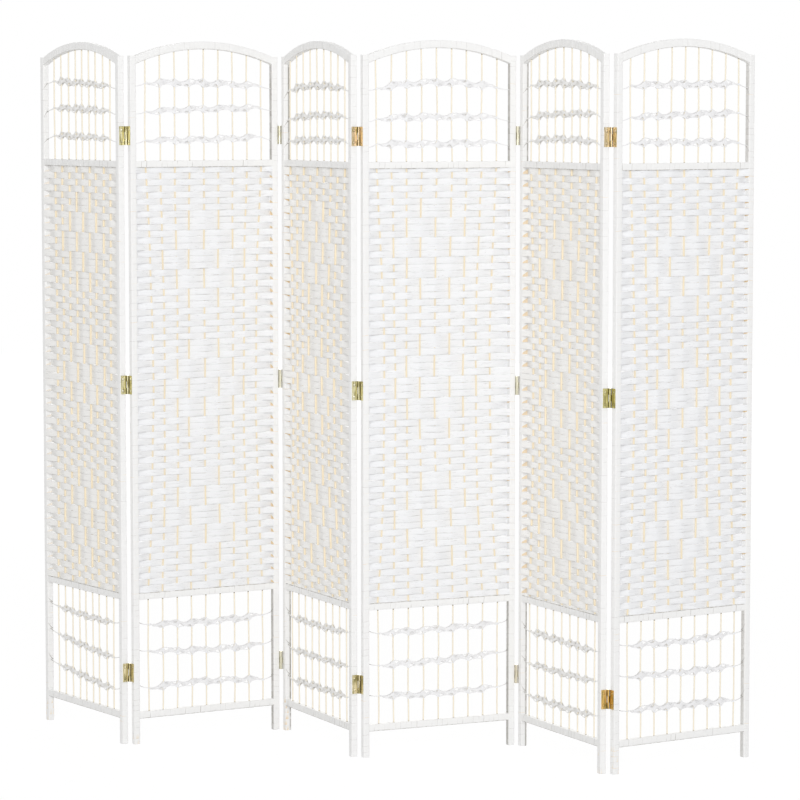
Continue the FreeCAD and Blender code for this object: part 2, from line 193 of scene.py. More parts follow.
stripFinish = Settings(  # painted light: a lighter, warmer copy of the paper for the panels turned from the key light and a cooler, darker one for those turned towards it, used in turn from panel to panel
    shadedSide=((0.965, 0.96, 0.947, 1), (0.93, 0.922, 0.905, 1)),
    litSide=((0.931, 0.94, 0.96, 1), (0.886, 0.895, 0.915, 1)),
    crease=(0.38, 0.365, 0.35, 1), lineShare=0.35, edgeShare=0.55, lineWidth=0.012,
    fibre=(40, 5, 97), fold=(16, 2.2, 61), broken=(28, 0, 29),  # stretch of the noise
    edgeFrom=(0.87, 0.97), brokenFrom=(0.42, 0.6), toneStep=53,
    fibreTone=0.7, stripTone=0.45, toneDrop=0.25, fibreRelief=0.6, lineRelief=0.5,
    bump=(0.35, 0.0006), rough=(0.25, 0.5),  # strength and depth, share of the fibres and least value
)


def stripPaper(lightSide):
    look = stripFinish
    material, top = startMaterial(lightSide + " paper strip")
    strand = strandFrame(top)
    across, seed = strand[1:]
    fibre = grain(top, strand, look.fibre)
    fold = grain(top, strand, look.fold, 1.0)
    line = (fold - 0.5).absolute().step(look.lineWidth, 0.0)  # thin creases along the strip, darkened with painted shade
    broken = grain(top, strand, look.broken, 1.0).step(*look.brokenFrom)
    # painted shade along the strip edges, as dark lines between the rows
    edge = across.absolute().step(*look.edgeFrom) * broken
    tone = top.node("TexWhiteNoise", {"W": seed * look.toneStep}, noise_dimensions="1D")
    colour = (fibre * look.fibreTone + tone * look.stripTone - look.toneDrop).blend(*look[lightSide])
    colour = (line * look.lineShare + edge * look.edgeShare).blend(colour, look.crease)
    bump = (fibre * look.fibreRelief + fold - line * look.lineRelief).bump(*look.bump)
    endMaterial(top, colour, fibre.scaled(*look.rough), bump)
    return material


cordFinish = Settings(
    # painted light: a warmer copy of the cord paper for the panels turned from the key light, a cooler one
    # for those turned towards it
    shadedSide=((0.925, 0.92, 0.91, 1), (0.82, 0.815, 0.805, 1)),
    litSide=((0.925, 0.925, 0.935, 1), (0.825, 0.825, 0.845, 1)),
    knot=(0.24, 0.22, 0.18, 1), fibre=(60, 4, 83), gather=(25, 2.5, 31),
    gatherTone=1.5, fibreTone=0.5, toneDrop=0.65, fibreRelief=0.4, bump=(0.3, 0.0006), rough=(0.2, 0.55),
)


def cordPaper(lightSide):
    look = cordFinish
    material, top = startMaterial(lightSide + " paper cord")
    strand = strandFrame(top)
    fibre = grain(top, strand, look.fibre)
    gather = grain(top, strand, look.gather, 1.0)
    colour = (gather * look.gatherTone + fibre * look.fibreTone - look.toneDrop).blend(*look[lightSide])
    # painted shade on the tails and ties where they meet the stiles
    colour = woodSeamAndShadeShare(top).blend(colour, look.knot)
    bump = (gather + fibre * look.fibreRelief).bump(*look.bump)
    endMaterial(top, colour, fibre.scaled(*look.rough), bump)
    return material


tapeFinish = Settings(
    white=(0.94, 0.94, 0.938, 1), shade=(0.885, 0.885, 0.88, 1), scuff=(0.66, 0.60, 0.50, 1),
    # seam: the dark of the tape seams, also used for painted shade and painted shadow lines
    bare=(0.95, 0.75, 0.44, 1), bareDark=(0.80, 0.56, 0.28, 1), seam=(0.30, 0.28, 0.24, 1),
    fibre=(90, 3, 71), patch=(22, 1.2, 43), worn=(130, 2, 19),  # stretch of the noise
    wornFrom=(0.66, 0.78), edgeFrom=(0.8, 1.0), scuffShare=0.4,
    fibreTone=0.6, patchTone=0.5, toneDrop=0.3, patchRelief=0.7, bump=(0.25, 0.0004), rough=(0.25, 0.42),
)


def woundTape():
    look = tapeFinish
    material, top = startMaterial("wound paper tape")
    strand = strandFrame(top)
    across = strand[1]
    fibre = grain(top, strand, look.fibre)
    patch = grain(top, strand, look.patch, 1.0)
    bare = woodSeamAndShadeShare(top)
    worn = grain(top, strand, look.worn, 2.0).step(*look.wornFrom)
    edge = across.absolute().step(*look.edgeFrom)
    mottle = fibre * look.fibreTone + patch * look.patchTone - look.toneDrop
    colour = mottle.blend(look.white, look.shade)
    colour = (worn * edge * look.scuffShare).blend(colour, look.scuff)
    colour = (bare * -1.0).blend(colour, look.seam)  # below nothing: dark seams, and also painted shade on inner faces and painted shadow lines along the rail and arch edges
    wood = fibre.blend(look.bare, look.bareDark)
    colour = bare.blend(colour, wood)
    bump = (fibre + patch * look.patchRelief).bump(*look.bump)
    endMaterial(top, colour, fibre.scaled(*look.rough), bump)
    return material


stickFinish = Settings(
    pale=(0.95, 0.85, 0.66, 1), dark=(0.90, 0.77, 0.55, 1), fleck=(0.78, 0.62, 0.40, 1),
    # end: painted shade where a stick goes into a rail or the arch
    end=(0.16, 0.13, 0.08, 1), washed=(0.97, 0.92, 0.80, 1), washedShare=0.7,
    field=(0.36, 1.405), fade=0.01,  # painted light: paler above and below the weave, as if more brightly lit there
    growth=(14, 3, 37), pore=(70, 9, 59), poreFrom=(0.62, 0.72), poreShare=0.35,
    growthTone=1.6, toneDrop=0.4, poreRelief=0.4, bump=(0.3, 0.0003), rough=(0.25, 0.5),
)


def bareStick():
    look = stickFinish
    material, top = startMaterial("bare wood stick")
    strand = strandFrame(top)
    along = strand[0]
    growth = grain(top, strand, look.growth)
    pore = grain(top, strand, look.pore, 1.0).step(*look.poreFrom)
    colour = (growth * look.growthTone - look.toneDrop).blend(look.pale, look.dark)
    colour = (pore * look.poreShare).blend(colour, look.fleck)
    foot, head = look.field
    fade = look.fade
    openLit = along.step(head - fade, head + fade) + along.step(foot + fade, foot - fade)
    colour = (openLit * look.washedShare).blend(colour, look.washed)
    # painted shade at the rails and the arch
    colour = woodSeamAndShadeShare(top).blend(colour, look.end)
    bump = (growth - pore * look.poreRelief).bump(*look.bump)
    endMaterial(top, colour, growth.scaled(*look.rough), bump)
    return material


brassFinish = Settings(
    leaf=(0.71, 0.665, 0.41, 1), screw=(0.93, 0.90, 0.74, 1), dull=(0.33, 0.29, 0.11, 1),
    stain=(0.10, 0.08, 0.04, 1), copper=(0.82, 0.60, 0.41, 1), light=(0.95, 0.82, 0.54, 1),
    amber=(0.79, 0.48, 0.12, 1), olive=(0.60, 0.55, 0.19, 1), pale=(0.82, 0.80, 0.70, 1),
    gleam=(0.98, 0.95, 0.80, 1),
    tarnish=(  # painted reflections: joint, level, tint, share
        (3, "top", "copper", 0.8), (5, "top", "copper", 0.7), (5, "top", "dull", 0.15),
        (5, "middle", "olive", 0.6), (1, "low", "light", 0.6), (3, "low", "light", 0.7),
        (4, "low", "copper", 0.5), (5, "low", "amber", 0.9),
    ),
    rubbedJoints=(2, 4), rubbedShare=0.6, spot=(0.06, 0.04), drawn=(300, 300, 40), speckScale=900.0,
    dullFrom=(0.43, 0.64), dullShare=0.9, gleamFrom=(0.42, 0.28), gleamShare=0.6,
    nookReach=0.006, nookSamples=8, nookFrom=(0.95, 0.4), nookShare=0.95, speckFrom=(0.56, 0.7),
    bump=(0.15, 0.0002), rough=(0.3, 0.18),
)


def pressedBrass(name, shine, wear):
    look = brassFinish
    material, top = startMaterial(name)
    place = top.node("TexCoord", None, "Object")
    drawn = top.node("VectorMath", {0: place, 1: look.drawn}, operation="MULTIPLY")
    streak = top.node("TexNoise", {"Vector": drawn, "Scale": 1.0, "Detail": 3.0})
    speck = top.node("TexNoise", {"Vector": place, "Scale": look.speckScale, "Detail": 2.0})
    nook = top.node("AmbientOcclusion", {"Distance": look.nookReach}, "AO", samples=look.nookSamples)

    def around(joint, level):  # 1 on one hinge
        spot = panels[joint - 1].toWorld(np.array([halfWidth, 0.0, hingeLevels[level]]))
        away = top.node("VectorMath", {0: place, 1: spot}, "Value", operation="DISTANCE")
        return away.step(*look.spot)

    colour = look[shine]
    # painted reflection tint on each listed hinge
    for joint, level, tint, share in look.tarnish:
        colour = (around(joint, level) * share).blend(colour, look[tint])
    # painted dark reflections in vertical streaks
    colour = (streak.step(*look.dullFrom) * look.dullShare).blend(colour, look.dull)
    # painted glint in narrow streaks
    colour = (streak.step(*look.gleamFrom) * look.gleamShare).blend(colour, look.gleam)
    # paler brass on the hinges of joints 2 and 4, with less darkening in their hollows
    paleHinges = sum(around(joint, level) for joint in look.rubbedJoints for level in hingeLevels)
    paleHinges = paleHinges * look.rubbedShare
    colour = paleHinges.blend(colour, look.pale)
    # painted shade in the hollows, from ambient occlusion
    nookShade = nook.step(*look.nookFrom) * (look.nookShare - paleHinges)
    # painted shade in the hollows and round the screw rims, and worn specks
    shadeAndSpecks = nookShade + speck.step(*look.speckFrom) * wear + woodSeamAndShadeShare(top)
    colour = shadeAndSpecks.blend(colour, look.stain)
    bump = (speck + streak).bump(*look.bump)
    endMaterial(top, colour, streak.scaled(*look.rough), bump, metallic=1.0)
    return material


# painted light: cooler paper on the even panels, which face the key light, and lighter, warmer paper on
# the odd ones, which face away
lightSides = ("litSide", "shadedSide")  # even panels, odd panels
stripMaterials = [stripPaper(lightSide) for lightSide in lightSides]
cordMaterials = [cordPaper(lightSide) for lightSide in lightSides]
tapeMaterial = woundTape()
stickMaterial = bareStick()
leafMaterial = pressedBrass("pressed brass", "leaf", wear=0.35)
screwMaterial = pressedBrass("screw brass", "screw", wear=0.5)
print("materials ready")


# strands swept along their paths and gathered into one mesh

class Skein:
    def __init__(self):
        self.points, self.lay, self.bare, self.quads, self.caps = [], [], [], [], []
        self.count = 0

    def sweep(self, rings, lay, bare=None):
        stations, around = rings.shape[:2]
        first = self.count
        here = np.arange(stations - 1)[:, None] * around
        side = np.arange(around)[None]
        following = (side + 1) % around
        there = here + around
        quads = np.stack([here + side, here + following, there + following, there + side], -1)
        self.quads.append(quads.reshape(-1, 4) + first)
        self.caps.append(list(range(first + around - 1, first - 1, -1)))
        last = first + (stations - 1) * around
        self.caps.append(list(range(last, last + around)))
        self.points.append(rings.reshape(-1, 3))
        self.lay.append(lay.reshape(-1, 3))
        self.bare.append(np.zeros(stations * around) if bare is None else bare.reshape(-1))
        self.count += stations * around

    def build(self, name, panel, material, sharp=35):
        points = panel.toWorld(np.concatenate(self.points))
        mesh = bpy.data.meshes.new(name)
        mesh.from_pydata(points.tolist(), [], np.concatenate(self.quads).tolist() + self.caps)
        lay = mesh.attributes.new("lay", "FLOAT_VECTOR", "POINT")
        lay.data.foreach_set("vector", np.concatenate(self.lay).astype(np.float32).ravel())
        bare = mesh.attributes.new("bare", "FLOAT", "POINT")
        bare.data.foreach_set("value", np.concatenate(self.bare).astype(np.float32))
        shape = bmesh.new()
        shape.from_mesh(mesh)
        bmesh.ops.recalc_face_normals(shape, faces=shape.faces)
        shape.to_mesh(mesh)
        shape.free()
        mesh.polygons.foreach_set("use_smooth", [True] * len(mesh.polygons))
        mesh.set_sharp_from_angle(angle=math.radians(sharp))
        mesh.materials.append(material)
        piece = addObject(name, mesh)
        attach(piece, panel.body)
        return piece


def strandLay(rings, along, across, seed):  # length, place across and number for each point
    lay = np.empty_like(rings)
    lay[..., 0] = along[:, None] * toMetres
    lay[..., 1] = across[None]
    lay[..., 2] = seed
    return lay


def wander(places, chance, size, wave):  # smooth random drift along a strand
    waves = ((0.6, 1.0), (0.3, 0.47), (0.2, 0.23))  # share and relative length of each
    uneven = (0.8, 1.25)  # shortest and longest
    total = np.zeros_like(places, dtype=float)
    for share, stretch in waves:
        turn = 2 * math.pi * places / (wave * stretch * chance.uniform(*uneven))
        total += share * np.sin(turn + chance.uniform(0, 2 * math.pi))
    return size * total


# sticks: straight in the open parts, drawn inwards where the weave is tight

stick = Settings(
    side=3.1, deep=4.3, corner=0.62, stations=110, swell=0.04, swellWave=90, deepFade=12,
    intoRail=1.0, intoArch=2.5, darkStart=0.05, darkEnd=2.2, darkFade=1.2, darkShare=0.8,
    pullShape=0.9, sway=0.7, swayWave=420, secondSway=(0.5, 2.3),
    closer={1: (17, 14, 13, 10, 3, -1, -8, -8, -13)},  # set closer together than on the others
    lean={3: -7.0, 4: -6.5},  # sideways at the top
    pull={  # how far each stick is drawn aside at mid height
        1: (5, 3, 1, 0, 0, -1, -2, -3, -4),
        2: (17.5, 9.3, 5, -3.8, 0, -1.5, -0.7, -10.8, -16.5),
        3: (10, -3, -12, -16, -14, -19, -23, -28, -28),
        4: (19, 7.5, -2, -7, -7.5, -8.5, -11, -17, -19),
        5: (15, 7, -4, -6, -6, -6.5, -10, -12, -17),
        6: (16.5, 12.5, 2.6, -2.3, -1.2, 1.8, -7, -10, -16),
    },
)


class StickSet:
    def __init__(self, panel):
        self.phase = drawsFor("sway", panel).uniform(0, 2 * math.pi, (stickCount, 2))
        self.pull = np.array(stick.pull[panel.number])
        self.homes = stickHomes + np.array(stick.closer.get(panel.number, 0))
        self.lean = stick.lean.get(panel.number, 0.0)

    def place(self, number, height):  # x of a stick at a height
        share = np.clip((height - fieldFoot) / (fieldTop - fieldFoot), 0, 1)
        drawn = self.pull[number] * np.sin(math.pi * share) ** stick.pullShape
        turn = 2 * math.pi * height / stick.swayWave
        secondShare, quicker = stick.secondSway
        sway = np.sin(turn + self.phase[number, 0])
        sway = sway + secondShare * np.sin(quicker * turn + self.phase[number, 1])
        lean = self.lean * height / sizes.height
        return self.homes[number] + drawn + stick.sway * sway + lean


def stickOutline():  # square section with cut corners
    half = stick.side / 2
    corner = half * stick.corner
    return np.array([
        (-half, -corner), (-corner, -half), (corner, -half), (half, -corner),
        (half, corner), (corner, half), (-corner, half), (-half, corner),
    ])


def makeSticks(panel, stickSet):
    skein = Skein()
    chance = drawsFor("sticks", panel)
    outline = stickOutline()
    railTop = sizes.railFeet[0] + sizes.railHeight
    foot = railTop - stick.intoRail
    dark, fade = stick.darkEnd, stick.deepFade
    for number in range(stickCount):
        home = stickSet.homes[number]
        archFace = archCentre + math.sqrt((archRadius - sizes.archRail) ** 2 - home ** 2)
        top = archFace + stick.intoArch
        faces = (  # where a stick meets a rail, and the way out of it
            (railTop, 1), (sizes.railFeet[1], -1),
            (fieldTop + sizes.railHeight, 1), (archFace, -1),
        )
        steps = (stick.darkStart, dark, dark + stick.darkFade)
        marks = [face + way * step for face, way in faces for step in steps]
        even = np.linspace(foot, top, stick.stations)
        heights = np.sort(np.concatenate([even, marks]))
        # painted shade on each stick where it goes into a rail or the arch
        shadow = np.max([np.abs(heights - face - way * dark / 2) < dark / 2 for face, way in faces], 0)
        centre = stickSet.place(number, heights)
        swell = 1 + wander(heights, chance, stick.swell, stick.swellWave)
        woven = np.clip((heights - fieldFoot) / fade + 0.5, 0, 1)
        woven = woven * np.clip((fieldTop - heights) / fade + 0.5, 0, 1)
        deeper = 1 + (stick.deep / stick.side - 1) * woven
        rings = np.empty((len(heights), len(outline), 3))
        rings[..., 0] = centre[:, None] + outline[None, :, 0] * swell[:, None]
        rings[..., 1] = outline[None, :, 1] * (swell * deeper)[:, None]
        rings[..., 2] = heights[:, None]
        seed = number / stickCount + panel.number
        lay = strandLay(rings, heights, np.linspace(-1, 1, len(outline)), seed)
        skein.sweep(rings, lay, np.repeat(shadow * stick.darkShare, len(outline)))
    piece = skein.build("panel_%d_sticks" % panel.number, panel, stickMaterial)
    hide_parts("panel_%d_warp_sticks" % panel.number)


# woven field: each row passes before or behind a stick, with three diamonds of three-row floats

weave = Settings(
    # plain rows above the first diamond, heights of a plain and a diamond row, top of the first row
    # and how much the rows grow downwards
    rows={
        1: (4, 15.75, 16.25, 1398.0, 0), 2: (7, 15.25, 15.75, 1400.0, 0),
        3: (5, 15.0, 16.25, 1393.0, 0), 4: (5, 15.75, 16.125, 1406.0, 0.05),
        5: (8, 15.25, 15.25, 1396.0, 0), 6: (7, 15.0, 15.5, 1396.0, 0),
    },
    drift={  # heights, and how far the rows there have slipped up or down
        3: ((468, 686, 832, 977, 1050, 1195, 1340),
            (-1.0, 2.4, -1.2, -9.7, -8.5, -2.4, 0.0)),
        4: ((483, 554, 698, 806, 913, 1056, 1200, 1343),
            (1.2, -3.6, -15.6, -17.0, -13.2, -3.6, 2.4, -1.2)),
        5: ((497, 780, 851, 992, 1134, 1205, 1346),
            (-1.2, 3.5, 1.2, -4.7, 1.2, 4.7, 2.4)),
    },
    apart={1: (20, 22)}, usualApart=(20, 20),  # rows from one diamond to the next
    middle=(883, 886, 895, 900, 909, 891),  # on each panel the row near here passes before both stiles
    floatRows=3, diamond=((4, 6), (3, 7), (2, 8), (3, 7), (4, 6)),  # sticks each band reaches
    leastRow=3, leastShown=2, hidden=0.8, tuck=1.6, thick=0.95, lift=0.15, gap=0.1, postInset=0.3,
    straight=0.35, stations=(0.0, 0.1, 0.28, 0.5, 0.72, 0.9),  # way from crossing to crossing
    rowWander=(0.4, 260), rowRipple=(0.15, 60), edgeWander=(0.22, 75),  # size and wave
    fold=0.22, leastFold=0.05, foldWave=48,
    across=(-1.0, -0.95, -0.45, 0.1, 0.55, 0.95, 1.0), body=(0.4, 0.95, 1.0, 0.95, 1.0, 0.95, 0.4),
)


def rowPlan(number, fromTop):  # where the strip lies before a stile or stick, and whether it floats
    start = weave.rows[number][0] + 1
    evens = np.arange(stickCount + 2) % 2 == 0
    before = evens if (fromTop + start) % 2 == 1 else ~evens
    apart = weave.apart.get(number, weave.usualApart)
    for first in (start, start + apart[0], start + sum(apart)):
        band = (fromTop - first) // weave.floatRows
        if 0 <= band < len(weave.diamond):
            low, high = weave.diamond[band]
            span = np.arange(len(evens))
            span = (span >= low) & (span <= high)
            return np.where(span, evens if band % 2 else ~evens, before), True
    return before, False


def fieldRows(panel):  # from the top down: lower edge, upper edge and plan of each row
    plainHigh, floatHigh, top, growth = weave.rows[panel.number][1:]
    drift = weave.drift.get(panel.number, ((0, 1), (0, 0)))
    middle = weave.middle[panel.number - 1]
    rows = []
    while top > fieldFoot + weave.leastRow:
        before, floating = rowPlan(panel.number, len(rows) + 1)
        share = (fieldTop - top) / (fieldTop - fieldFoot)
        foot = top - (floatHigh if floating else plainHigh) * (1 + growth * (share - 0.5))
        rows.append([foot + np.interp(foot, *drift), top + np.interp(top, *drift), before])
        top = foot
    rows = [row for row in rows if row[0] < fieldTop - weave.leastShown]
    rows[0][1] = fieldTop + weave.hidden  # first and last row are tucked under the rails
    rows[-1][0] = fieldFoot - weave.hidden
    recessed = [row for row in rows if not row[2][0]]
    nearest = min(recessed, key=lambda row: abs((row[0] + row[1]) / 2 - middle))
    nearest[2] = nearest[2].copy()
    nearest[2][[0, -1]] = True
    return rows


def spread(places, shares):  # stations at the same shares of every span
    starts, spans = places[:-1], np.diff(places)
    stations = (starts[:, None] + spans[:, None] * shares[None]).ravel()
    index = np.repeat(np.arange(len(spans)), len(shares))
    share = np.tile(shares, len(spans))
    return np.append(stations, places[-1]), np.append(index, len(spans) - 1), np.append(share, 1.0)


def ribbonRings(x, y, z, half, thick, look, folds):  # flat ribbon that faces the front
    across, body = np.array(look.across), np.array(look.body)
    slope = np.gradient(y, x)
    length = np.sqrt(1 + slope ** 2)
    normal = np.stack([-slope / length, 1 / length], -1)
    rings = []
    for side, order in ((-1, slice(None)), (1, slice(None, None, -1))):
        for position, share, fold in zip(across[order], body[order], folds[order]):
            offset = side * thick / 2 * share + fold
            rings.append(np.stack([
                x + normal[:, 0] * offset, y + normal[:, 1] * offset, z + half * position
            ], -1))
    return np.stack(rings, 1), np.concatenate([across, across[::-1]])


def makeWeave(panel, stickSet, rows):
    skein = Skein()
    chance = drawsFor("weave", panel)
    clear = stick.deep / 2 + weave.thick / 2 + weave.lift
    postDepth = halfStile - weave.postInset
    postReach = halfInner + weave.tuck
    straight = weave.straight
    for number, (foot, top, before) in enumerate(rows):
        level = (foot + top) / 2
        crossings = [stickSet.place(which, level) for which in range(stickCount)]
        places = np.array([-postReach, *crossings, postReach])
        depths = np.where(before, -clear, clear)
        depths[[0, -1]] = np.where(before[[0, -1]], -postDepth, postDepth)
        x, index, share = spread(places, np.array(weave.stations))
        ease = straight * share + (1 - straight) * share ** 2 * (3 - 2 * share)
        y = depths[index] + (depths[index + 1] - depths[index]) * ease
        z = level + wander(x, chance, *weave.rowWander) + wander(x, chance, *weave.rowRipple)
        half = (top - foot) / 2 - weave.gap + wander(x, chance, *weave.edgeWander)
        creases = [weave.fold * (1 - abs(place)) + weave.leastFold for place in weave.across]
        folds = np.array([wander(x, chance, size, weave.foldWave) for size in creases])
        rings, across = ribbonRings(x, y, z, half, weave.thick, weave, folds)
        skein.sweep(rings, strandLay(rings, x, across, panel.number + number / len(rows)))
    material = stripMaterials[panel.number % 2]
    piece = skein.build("panel_%d_woven_strips" % panel.number, panel, material, sharp=50)
    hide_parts("panel_%d_woven_field" % panel.number)


# tied cords: two paper ribbons twined round the sticks, wide at a stick and gathered between

cords = Settings(
    lines={  # heights of the three low and three top cords at the left, in the middle and at the right
        1: ((149, 137, 127), (226, 213, 205), (296, 290, 290),
            (1472, 1471, 1466), (1540, 1538, 1532), (1606, 1601, 1593)),
        2: ((135, 138, 130), (224, 216, 216), (289, 285, 289),
            (1463, 1464, 1469), (1532, 1538, 1540), (1600, 1600, 1594)),
        3: ((132, 136, 137), (208, 209, 211), (288, 288, 293),
            (1461, 1464, 1463), (1516, 1523, 1520), (1587, 1594, 1586)),
        4: ((144, 141, 144), (218, 220, 227), (295, 296, 299),
            (1456, 1456, 1458), (1516, 1520, 1518), (1590, 1601, 1591)),
        5: ((128, 126, 129), (206, 207, 210), (285, 283, 282),
            (1464, 1468, 1463), (1521, 1527, 1527), (1595, 1598, 1590)),
        6: ((144, 143, 139), (224, 221, 221), (297, 294, 299),
            (1462, 1462, 1460), (1520, 1525, 1529), (1592, 1595, 1596)),
    },
    reach=138, stations=20,  # how far from the middle left and right are, steps between two sticks
    wide=10.6, wideRange=(0.82, 1.14), narrow=4.3, cusp=1.7, zigzag=2.3, bend=0.25, helix=1.3,
    standOff=3.0, thick=0.6, bulk=0.4, fold=0.16, foldWave=22, endFade=45.0, leastFade=0.2, endShare=0.15,
    hole=6.2, holeRange=(0.6, 1.2), holeShape=0.75, holeMost=1.2, holeStart=0.03, holeEnd=0.37,
    through=0.55, strand=1.6, strandFade=3, edgeReach=0.42, edgeThick=0.7, edgeOver=0.5, edgeOut=0.15,
    edgeLeast=0.02, seedStep=0.083, edgeSeed=0.04,
    tail=Settings(
        thick=0.8, thicken=0.5, into=0.5, front=-1.0, rise=7.0, riseRange=2, sag=1.5,
        knot=0.85, knotReach=0.5, points=10, seed=0.5,
    ),
    tie=Settings(
        thick=1.1, taper=0.6, inset=0.4, slant=0.2, rise=17.0, riseRange=(0.6, 1.0), riseShape=1.5,
        front=-6.8, back=6.0, dark=0.7, darkFade=0.5, seed=0.6,
    ),
    across=(-1.0, -0.6, 0.0, 0.6, 1.0), body=(0.35, 0.9, 1.0, 0.9, 0.35),
)


def ribbon(skein, chance, x, y, low, high, thick, seed):
    folds = np.array([wander(x, chance, cords.fold, cords.foldWave) for place in cords.across])
    z, half = (low + high) / 2, (high - low) / 2
    rings, across = ribbonRings(x, y, z, half, 1.0, cords, folds)
    middle = np.stack([x, y], -1)[:, None, :]
    rings[..., :2] = middle + (rings[..., :2] - middle) * thick[:, None, None]
    skein.sweep(rings, strandLay(rings, x, across, seed))


def thread(skein, path, thick, dark, seed):  # round thread along a path that runs sideways
    sides = 8
    stationStep = 2.0
    aside = (0.0, 0.3, 1.0)  # never along the path
    turn = np.arange(sides) * 2 * math.pi / sides
    along = np.gradient(path, axis=0)
    along /= np.linalg.norm(along, axis=1)[:, None]
    first = np.cross(along, aside)
    first /= np.linalg.norm(first, axis=1)[:, None]
    second = np.cross(along, first)
    ring = first[:, None] * np.cos(turn)[None, :, None] + second[:, None] * np.sin(turn)[None, :, None]
    rings = path[:, None] + ring * thick[:, None, None]
    length = np.cumsum(np.full(len(path), stationStep))
    lay = strandLay(rings, length, np.linspace(-1, 1, sides), seed)
    # dark is the share of painted shade along the thread
    skein.sweep(rings, lay, np.repeat(dark, sides))


def tieEnds(skein, chance, line, places, levels, seed):  # thin ends tied to the stiles
    left, middle, right = line
    tail, tie = cords.tail, cords.tie
    way = 1 if middle < fieldFoot else -1
    share = np.linspace(0, 1, tail.points)
    for side, height, place, level in zip((-1, 1), (left, right), places, levels):
        height = height + way * (tail.rise + chance.uniform(-tail.riseRange, tail.riseRange))
        start = np.array([side * (halfInner + tail.into), 0.0, height])
        end = np.array([place, tail.front, level])
        path = start + (end - start) * share[:, None]
        path[:, 2] -= tail.sag * np.sin(math.pi * share)
        # painted shade at the stile end of each lower tail
        knot = tail.knot * np.clip(1 - share / tail.knotReach, 0, 1) * (way > 0)
        thread(skein, path, tail.thick * (1 + tail.thicken * share), knot, seed + tail.seed)
        path = np.stack([  # drawn up the inner face of the stile
            side * (halfInner - tie.inset + tie.slant * share), tie.back + (tie.front - tie.back) * share,
            height + way * tie.rise * share ** tie.riseShape * chance.uniform(*tie.riseRange),
        ], -1)
        # painted shade along each tie, fading towards the front
        dark = tie.dark * (1 - tie.darkFade * share)
        thread(skein, path, tie.thick * (1 - tie.taper * share), dark, seed + tie.seed)


def twineCord(skein, chance, stickSet, line, seed):  # returns the last seed used
    left, middle, right = line
    places = np.array([stickSet.place(number, middle) for number in range(stickCount)])
    x, index, share = spread(places, np.arange(cords.stations) / cords.stations)
    nearest = np.where(share < 0.5, index, index + 1)
    near = np.where(share < 0.5, share, share - 1)  # from the nearest stick, in gaps
    quarter = (nearest, (near > 0).astype(int))
    parity = np.where(index % 2 == 0, 1.0, -1.0)
    run = x / cords.reach
    level = middle + (right - left) / 2 * run + ((left + right) / 2 - middle) * run ** 2
    bend = np.clip(np.minimum(share, 1 - share) / cords.bend, 0, 1)
    level = level - parity * cords.zigzag * bend
    fromEnd = np.minimum(x - places[0], places[-1] - x)
    endFade = np.clip(fromEnd / cords.endFade + cords.leastFade, 0, 1)
    flare = (1 - 2 * np.abs(near)) ** cords.cusp
    wide = cords.wide * np.interp(x, places, chance.uniform(*cords.wideRange, stickCount))
    half = cords.narrow + (wide - cords.narrow) * flare
    half = half * (cords.endShare + (1 - cords.endShare) * endFade)
    holeLength = cords.holeEnd - cords.holeStart
    lens = np.clip((np.abs(near) - cords.holeStart) / holeLength, 0, 1)
    lens = np.sin(math.pi * lens ** cords.holeShape) * endFade
    opening = chance.uniform(*cords.holeRange, (stickCount, 2))[quarter] * cords.hole * lens
    strand = cords.strand * np.clip(cords.strandFade * lens, 0, 1)
    opening = np.minimum(opening + strand, cords.holeMost * half)
    upper = (nearest % 2 == 0) == (near < 0)  # quarter of the crossing that stays open
    through = (chance.random((stickCount, 2)) < cords.through)[quarter]
    thick = cords.thick + cords.bulk * (1 - flare) ** 2
    for sign in (1.0, -1.0):
        facing = sign * parity * np.cos(math.pi * share)  # 1 where the ribbon is before a stick
        y = -cords.standOff * facing
        centre = level + sign * endFade * parity * cords.helix * np.sin(math.pi * share)
        seed += cords.seedStep
        gap = np.where((facing > 0) | through, opening, 0)  # some holes go through both ribbons
        low = centre - half + np.where(upper, 0, gap)
        high = centre + half - np.where(upper, gap, 0)
        ribbon(skein, chance, x, y, low, high, thick, seed)
        before = [number for number in range(1, stickCount - 1) if (number % 2 == 0) == (sign > 0)]
        for number, side in itertools.product(before, (-1, 1)):
            part = (nearest == number) & (near * side >= 0) & (np.abs(near) < cords.edgeReach)
            over = (number % 2 == 0) == (side < 0)
            edge = (centre + half if over else centre - half)[part]
            inset = -strand[part] if over else strand[part]
            foot, top = np.sort([edge + inset, edge + inset * cords.edgeLeast], 0)
            top = top + cords.edgeOver  # a folded edge closes the hole
            flat = np.full(len(foot), cords.edgeThick)
            ribbon(skein, chance, x[part], y[part] - cords.edgeOut, foot, top, flat, seed + cords.edgeSeed)
    tieEnds(skein, chance, line, places[[0, -1]], level[[0, -1]], seed)
    return seed


def makeCords(panel, stickSet):
    skein = Skein()
    chance = drawsFor("cords", panel)
    seed = panel.number
    for line in cords.lines[panel.number]:
        seed = twineCord(skein, chance, stickSet, line, seed)
    material = cordMaterials[panel.number % 2]
    piece = skein.build("panel_%d_twined_cords" % panel.number, panel, material, sharp=60)
    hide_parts("panel_%d_tied_cords" % panel.number)


# frame pieces wound with paper tape: each turn is a band with a small ledge to the next

